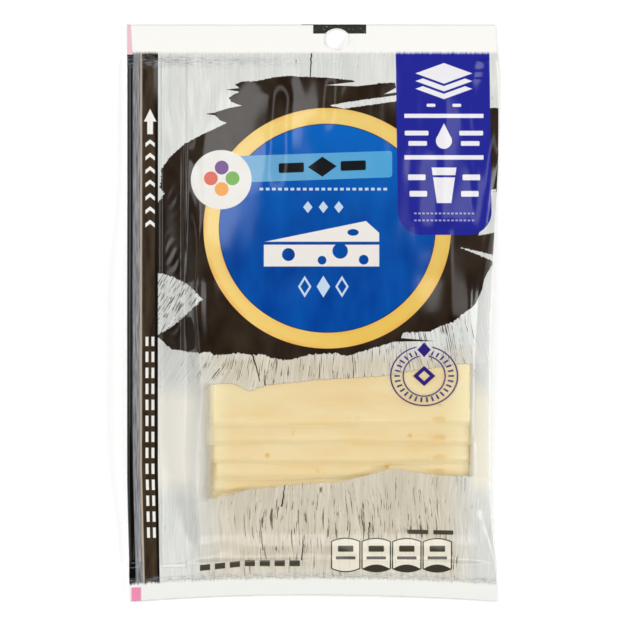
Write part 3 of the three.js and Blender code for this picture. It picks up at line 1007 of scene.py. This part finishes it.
def tag_print(x, y, colour):
    """The violet-blue tag: two white rules between pictures of stacked slices, a drop and
    a glass."""
    upright = x - (100.0 - y) * 0.0124
    shape = box(upright, y, (50.3, 70.0), (18.2, 39.8), 9.3)
    shape = shape.least(box(upright, y, (50.3, 88.0), (18.2, 12.4), 0.1))
    colour = inked(shape).paint(colour, (36, 40, 148))
    aside = abs(x - 50.8)
    top, middle, lowest = (rhombus(x, y, (50.8, at), (11.0, 4.0)) for at in (93.0, 90.0, 87.0))
    drop = oval(x, y, (50.8, 66.8), (3.1, 3.1))
    drop = drop.least(polygon(x, y, [(48.0, 68.0), (53.6, 68.0), (50.8, 73.6)]))
    glass = polygon(x, y, [(48.0, 42.6), (53.6, 42.6), (55.6, 56.4), (46.0, 56.4)])
    level = abs(y - 53.0) - 0.45
    glass = glass.most(level * -1.0)
    marks = nearest(
        box(x, y, (50.8, 76.5), (15.35, 0.8), 0.1), box(x, y, (50.8, 60.35), (15.35, 0.85), 0.1),
        top, middle.most(0.9 - top), lowest.most(0.9 - middle),
        box(aside, y, (5.0, 80.6), (1.7, 0.6), 0.5),
        drop, box(aside, y, (10.6, 69.8), (4.6, 0.9), 0.4),
        box(aside, y, (10.2, 65.8), (3.6, 0.9), 0.4),
        glass, box(aside, y, (10.6, 52.6), (3.4, 1.1), 0.4),
        box(aside, y, (10.0, 46.2), (3.4, 1.1), 0.4),
    )
    beads = abs((x - 50.8).maths("WRAP", 0.8, -0.8)) - 0.45
    fine = (abs(abs(y - 37.2) - 1.35) - 0.3).most(aside - 11.6).most(beads)
    colour = (inked(fine) * 0.6).paint(colour, (210, 212, 238))
    return inked(marks).paint(colour, (236, 234, 238))


def seal_marks(x, y):
    """Mask of the round seal's lines: two rings with ticks between them, a small rhombus
    that breaks them at the top, and an open one in the middle."""
    outer = oval(x, y, (42.9, -24.3), (12.9, 11.4))
    inner = oval(x, y, (42.9, -24.3), (8.1, 7.8))
    across = (x - 42.9) * 0.9
    along = y + 24.3
    turn = along.maths("ARCTAN2", across) * (1 / (2 * math.pi))
    tick = abs((turn * 30.0).maths("WRAP", 0.5, -0.5)) - 0.16
    ticks = (tick * 1.6).most(abs(outer + 2.2) - 0.95)
    rings = (abs(outer) - 0.24).least(abs(inner) - 0.24)
    crest = rhombus(x, y, (42.9, -14.2), (2.6, 2.9))
    gap = 1 - inked(crest - 1.0)
    core = rhombus(x, y, (42.9, -24.3), (4.6, 4.2))
    core = abs(core + 0.9) - 0.7
    return inked(rings.least(ticks)) * gap + inked(crest.least(core))


def label_boxes(x, y, colour):
    """Four small outlined boxes with bowed ends and short bars, three with a dark lens."""
    pitch = 11.85
    count_x = (x - 6.75).maths("WRAP", pitch, 0.0) - pitch / 2
    row = abs(x - 30.45) - 2 * pitch
    bow = count_x * count_x * 0.042
    tall = abs(y + 93.9 + (x - 30.0) * 0.004) + bow - 6.8
    shape = tall.most(abs(count_x) - 5.75)
    inside = inked(shape) * inked(row)
    outline = inked(abs(shape + 0.25) - 0.25, 0.12) * inked(row - 0.2)
    colour = (inside * 0.75).paint(colour, (238, 232, 214))
    colour = outline.paint(colour, (62, 57, 46))
    lens = (y + 97.6 + count_x * count_x * 0.06).most(18.9 - x).most(shape + 0.3)
    colour = (inked(lens) * inked(row)).paint(colour, (60, 56, 48))
    bars = box(count_x, y, (0.0, -91.4), (3.0, 1.2), 0.4)
    bars = bars.least(box(count_x, y, (0.0, -95.0), (3.8, 0.6), 0.3))
    colour = (inked(bars) * inked(row)).paint(colour, (70, 62, 48))
    above = box(abs(x - 45.6), y + x * 0.02, (4.9, -84.0), (3.9, 0.85), 0.4)
    climb = y + 99.0 - x.within(-44.0, -26.0) * 1.9
    parts = abs((x + 24.5).maths("WRAP", 2.9, -2.9)) - 2.0
    left_row = (abs(climb) - 1.15).most(abs(x + 24.5) - 19.6).most(parts)
    return inked(above.least(left_row)).paint(colour, (72, 66, 54))


def tear_band(x, y, colour):
    """The dark band down the left side: black fold, a grey strip of streaks painted as the
    highlight on the round fold, a pale crease line, a brown field with the tear arrow and dashes,
    and a black border."""
    lean = y.within(-60.0, -112.0) * 1.2
    place = x - lean
    # Painted highlight with streaks in it: the grey strip stands for light on the round fold.
    scuffs_and_sheen = x.noise(y, 0.5, 9.0, 51.0, detail=3.0).within(0.3, 0.75)
    grey = scuffs_and_sheen.paint((88, 88, 90), (172, 173, 176))
    brown = x.noise(y, 3.0, 14.0, 52.0).within(0.3, 0.7)
    brown = brown.paint((42, 33, 24), (74, 60, 45))
    band = place.within(-69.9, -69.6).paint((12, 11, 10), grey)
    band = place.within(-67.1, -66.9).paint(band, (186, 168, 148))
    band = place.within(-66.5, -66.2).paint(band, brown)
    band = place.within(-61.6, -61.1).paint(band, (22, 19, 16))
    on_band = inked(x + 60.1 - lean * 0.6)
    colour = on_band.paint(colour, band)
    arrow = polygon(x, y, [(-64.3, 69.4), (-62.1, 69.4), (-62.1, 74.5), (-64.3, 74.5)])
    arrow = arrow.least(polygon(x, y, [(-65.6, 74.3), (-60.8, 74.3), (-63.2, 79.2)]))
    bent = y - 51.0 + abs(x + 63.2) * 0.8
    chevrons = (abs(bent.maths("WRAP", 2.6, -2.6)) - 0.75).most(abs(bent) - 16.6)
    chevrons = chevrons.most(abs(x + 63.2) - 1.8)
    dash = abs((y + 48.0).maths("WRAP", 3.1, -3.1)) - 2.0
    dashes = dash.most(abs(abs(x + 63.2 - lean * 0.9) - 1.15) - 0.55).most(abs(y + 48.2) - 39.0)
    return inked(arrow.least(chevrons).least(dashes)).paint(colour, (238, 236, 230))


def welds_print(x, y, colour):
    """The grey painted shade in the welds' ripples, the unprinted white weld strips, the pink
    edge marks and the dark print mark.
    """
    ripple = (x.noise(y, 7.0, 2.0, 61.0) - 0.5) * 0.8
    brushed = (x.noise(y, 0.7, 30.0, 64.0, detail=3.0) - 0.5) * 4.0
    painted_ripple_shade = x.noise(y, 2.6, 0.5, 62.0).within(0.42, 0.75)
    # Painted shade: grey blotches along the ripples at the welds' inner edges.
    along_foot = y + 103.0 + x * x * 0.00045 + ripple
    near_weld = (abs(y - 97.6) - 2.4).within(0.8, -1.6) * x.within(20.0, -50.0)
    near_foot = (abs(along_foot - 1.0) - 1.0).within(0.9, -0.5)
    grey = near_weld.most(near_foot) * painted_ripple_shade * 0.8
    colour = grey.paint(colour, (140, 143, 150))
    white = y.within(-95.0, 95.0).paint((238, 239, 234), (249, 248, 243))
    at_head = inked(101.0 - y + brushed * 0.3, 1.2)
    at_foot = inked(along_foot + brushed * 0.6, 1.0)
    colour = at_head.most(at_foot).paint(colour, white)
    pink_head = inked(x + 70.2 + (y - 104.0) * 0.06) * inked(100.3 - y, 0.3)
    colour = pink_head.paint(colour, (240, 196, 208))
    pink_foot = inked(abs(x + 68.6) - 1.9, 0.5) * inked(along_foot + 1.4, 0.3)
    colour = pink_foot.paint(colour, (236, 142, 178))
    scratch = x.noise(y, 1.2, 0.35, 63.0, detail=3.0).within(0.64, 0.7)
    block = box(x, y, (10.35, 111.0), (10.3, 2.6), 0.1)
    block = block.least(box(x, y, (-2.0, 112.0), (2.4, 0.25), 0.1))
    return (inked(block) * (1 - scratch * 0.7)).paint(colour, (52, 53, 49))


def bare_print(x, y, under):
    """The wood, the dark patch and the cracks on the white wedge."""
    patch, wedge = brushed_patch(x, y)
    colour = (wedge * wedge_hatching(x, y) * 0.8).paint(wood(x, y), (60, 54, 46))
    umber = x.noise(y, 10.0, 16.0, 34.0).within(0.3, 0.7)
    umber = umber.paint((32, 21, 13), (54, 44, 34))
    return patch.paint(colour, umber)


def in_own_group(name, painter, under):
    """Run a painter in a node group of its own, which takes the colour under it."""
    group = bpy.data.node_groups.new(name, "ShaderNodeTree")
    group.interface.new_socket("Under", in_out="INPUT", socket_type="NodeSocketColor")
    group.interface.new_socket("Colour", in_out="OUTPUT", socket_type="NodeSocketColor")
    x, y = place_in_mm(group)
    painted = painter(x, y, x.node("NodeGroupInput"))
    painted.node("NodeGroupOutput", None, {"Colour": painted})
    return under.node("ShaderNodeGroup", {"node_tree": group}, {"Under": under})


def print_group():
    """The print as one node group that gives its colour and the mask of the clear film."""
    tree = bpy.data.node_groups.new("front_print", "ShaderNodeTree")
    tree.interface.new_socket("Colour", in_out="OUTPUT", socket_type="NodeSocketColor")
    tree.interface.new_socket("Clear", in_out="OUTPUT", socket_type="NodeSocketFloat")
    colour = Shade(tree, None).node("ShaderNodeRGB")
    painters = {
        "bare_print": bare_print, "disc_print": disc_print, "badge_print": badge_print,
        "tag_print": tag_print, "label_boxes": label_boxes, "tear_band": tear_band,
        "welds_print": welds_print,
    }
    for name, painter in painters.items():
        colour = in_own_group(name, painter, colour)
    x, y = place_in_mm(tree)
    seal = seal_marks(x, y)
    colour = seal.paint(colour, (50, 32, 120))
    clear = clear_window(x, y) * (1 - seal)
    colour.node("NodeGroupOutput", None, {"Colour": colour, "Clear": clear})
    return tree


def mirrored(under):
    """Clear gloss film over what lies under it: it mirrors little from above and more at
    a slant, as Schlick's formula gives."""
    weight = under.node("ShaderNodeLayerWeight", None, {"Blend": 0.5}, out=1)
    share = weight.maths("POWER", 5.0) * 0.9 + 0.024
    gloss_sockets = {"Color": (1, 1, 1, 1), "Roughness": 0.2}
    gloss = under.node("ShaderNodeBsdfGlossy", None, gloss_sockets)
    return under.node("ShaderNodeMixShader", None, {0: share, 1: under, 2: gloss})


def film_material(name, group, clear_share):
    """Gloss film. clear_share says how much is clear: none of it, all of it, or what the
    print leaves free. With no print group the printed part is the plain white inside."""
    constants = {"Base Color": linear(240, 239, 232), "Roughness": 0.15, "IOR": 1.4}
    material, surface, x, y = new_material(name, constants)
    if group:
        ink = x.node("ShaderNodeGroup", {"node_tree": group})
        ink.feed(surface, "Base Color")
    if clear_share == "none":
        return material
    clear = x.node("ShaderNodeBsdfTransparent", None, {"Color": (0.99, 0.99, 0.985, 1)})
    milky = x.node("ShaderNodeBsdfDiffuse", None, {"Color": linear(252, 250, 243)})
    slant = x.node("ShaderNodeLayerWeight", None, {"Blend": 0.5}, out=1)
    haze = slant.within(0.45, 0.95) * 0.24 + 0.02
    hazy = x.node("ShaderNodeMixShader", None, {0: haze, 1: clear, 2: milky})
    shown = mirrored(hazy)
    if clear_share == "window":
        mask = Shade(x.tree, ink.socket.node.outputs["Clear"]) if group else clear_window(x, y)
        printed = Shade(x.tree, surface.outputs[0])
        shown = x.node("ShaderNodeMixShader", None, {0: mask, 1: printed, 2: shown})
    shown.feed(x.tree.nodes["Material Output"], "Surface")
    return material


def lay_materials(piece):
    """Give each face of the front film its material, in place of the back's: the print
    outside and white inside, and clear film where the window is free of print."""
    group = print_group()
    materials = [
        film_material("solid_print", group, "none"),
        film_material("window_print", group, "window"),
        film_material("clear_film", None, "all"),
        film_material("white_inside", None, "none"),
        film_material("window_inside", None, "window"),
    ]
    piece.data.materials.clear()
    for material in materials:
        piece.data.materials.append(material)
    faces = piece.data.polygons
    centre = np.zeros(len(faces) * 3)
    normal = np.zeros(len(faces) * 3)
    faces.foreach_get("center", centre)
    faces.foreach_get("normal", normal)
    x, y = centre.reshape(-1, 3)[:, :2].T / MM
    inside = normal.reshape(-1, 3)[:, 2] < 0
    near_window = (x > -60.5) & (y < -17) & (y > -75)
    free = (x > -38) & (x < 60.5) & (y < -32) & (y > -59) & ~((x > 29) & (y > -37))
    index = np.where(near_window, 1, 0) + np.where(inside, 3, 0)
    index = np.where(free, 2, index)
    faces.foreach_set("material_index", index.astype(np.int32))


front_outer = front_surface()
front_mesh = shell_mesh("film_front", front_outer, offset(front_outer, -FILM_THICKNESS))
film_front = add_piece("film_front", front_mesh, back_print)
cut_hang_hole(film_front)
lay_materials(film_front)

# Studio. A white table under a wide light at the upper left, a narrow one at the upper
# right and three weak low ones, and a camera that looks straight down from far above.

FRAME_HEIGHT = 242.6
CAMERA_HEIGHT = 3.0
FRAME_PLANE = 0.006
HALF_TABLE = 1.5


def floor_material():
    """Matt white that glows a little, so that the pack's soft shadow stays pale."""
    constants = {
        "Base Color": (0.98, 0.98, 0.98, 1),
        "Roughness": 0.9,
        "Emission Color": (1, 1, 1, 1),
        "Emission Strength": 0.12,
    }
    return new_material("white_table", constants)[0]


table_mesh = bpy.data.meshes.new("white_table")
table_corners = np.array([(-1, -1, 0), (1, -1, 0), (1, 1, 0), (-1, 1, 0)]) * HALF_TABLE
table_mesh.from_pydata(table_corners.tolist(), [], [(0, 1, 2, 3)])
table = bpy.data.objects.new("white_table", table_mesh)
bpy.context.scene.collection.objects.link(table)
table_mesh.materials.append(floor_material())


def soft_light(name, place, aim, size, power):
    """An area light at place, turned towards aim, with its second size along the pack."""
    lamp = bpy.data.lights.new(name, "AREA")
    lamp.shape = "RECTANGLE"
    lamp.size, lamp.size_y = size
    lamp.energy = power
    holder = bpy.data.objects.new(name, lamp)
    bpy.context.scene.collection.objects.link(holder)
    holder.location = place
    back = (Vector(place) - Vector(aim)).normalized()
    right = Vector((0, 1, 0)).cross(back).normalized()
    turned = Matrix((right, back.cross(right), back)).transposed()
    holder.rotation_euler = turned.to_euler()


soft_light("key_box", (-0.97, 0.66, 1.9), (0, 0, 0), (1.3, 1.5), 26)
soft_light("right_strip", (0.60, 0.65, 1.75), (0, 0, 0), (0.34, 1.9), 5.5)
soft_light("left_low", (-1.25, 0.0, 0.95), (0, 0, 0), (0.4, 1.3), 5)
soft_light("right_low", (1.25, -0.1, 0.9), (0, 0, 0), (0.35, 1.3), 12)
soft_light("foot_low", (0.0, -1.35, 0.95), (0, 0, 0), (1.3, 0.4), 7)

world = bpy.data.worlds.new("studio")
world.use_nodes = True
background = world.node_tree.nodes["Background"]
upward = Shade(world.node_tree, None).node("ShaderNodeTexCoord", out=0)
height = upward.node("ShaderNodeSeparateXYZ", None, {0: upward}, out=2)
glow = height.within(0.95, 0.5) * 0.62 + 0.17
glow.feed(background, "Strength")
bpy.context.scene.world = world

camera = bpy.data.cameras.new("camera")
camera.sensor_width = 36
camera.lens = camera.sensor_width * (CAMERA_HEIGHT - FRAME_PLANE) / (FRAME_HEIGHT * MM)
camera_holder = bpy.data.objects.new("camera", camera)
camera_holder.location = (0, 0, CAMERA_HEIGHT)
bpy.context.scene.collection.objects.link(camera_holder)
bpy.context.scene.camera = camera_holder
bpy.context.scene.view_settings.view_transform = "Standard"
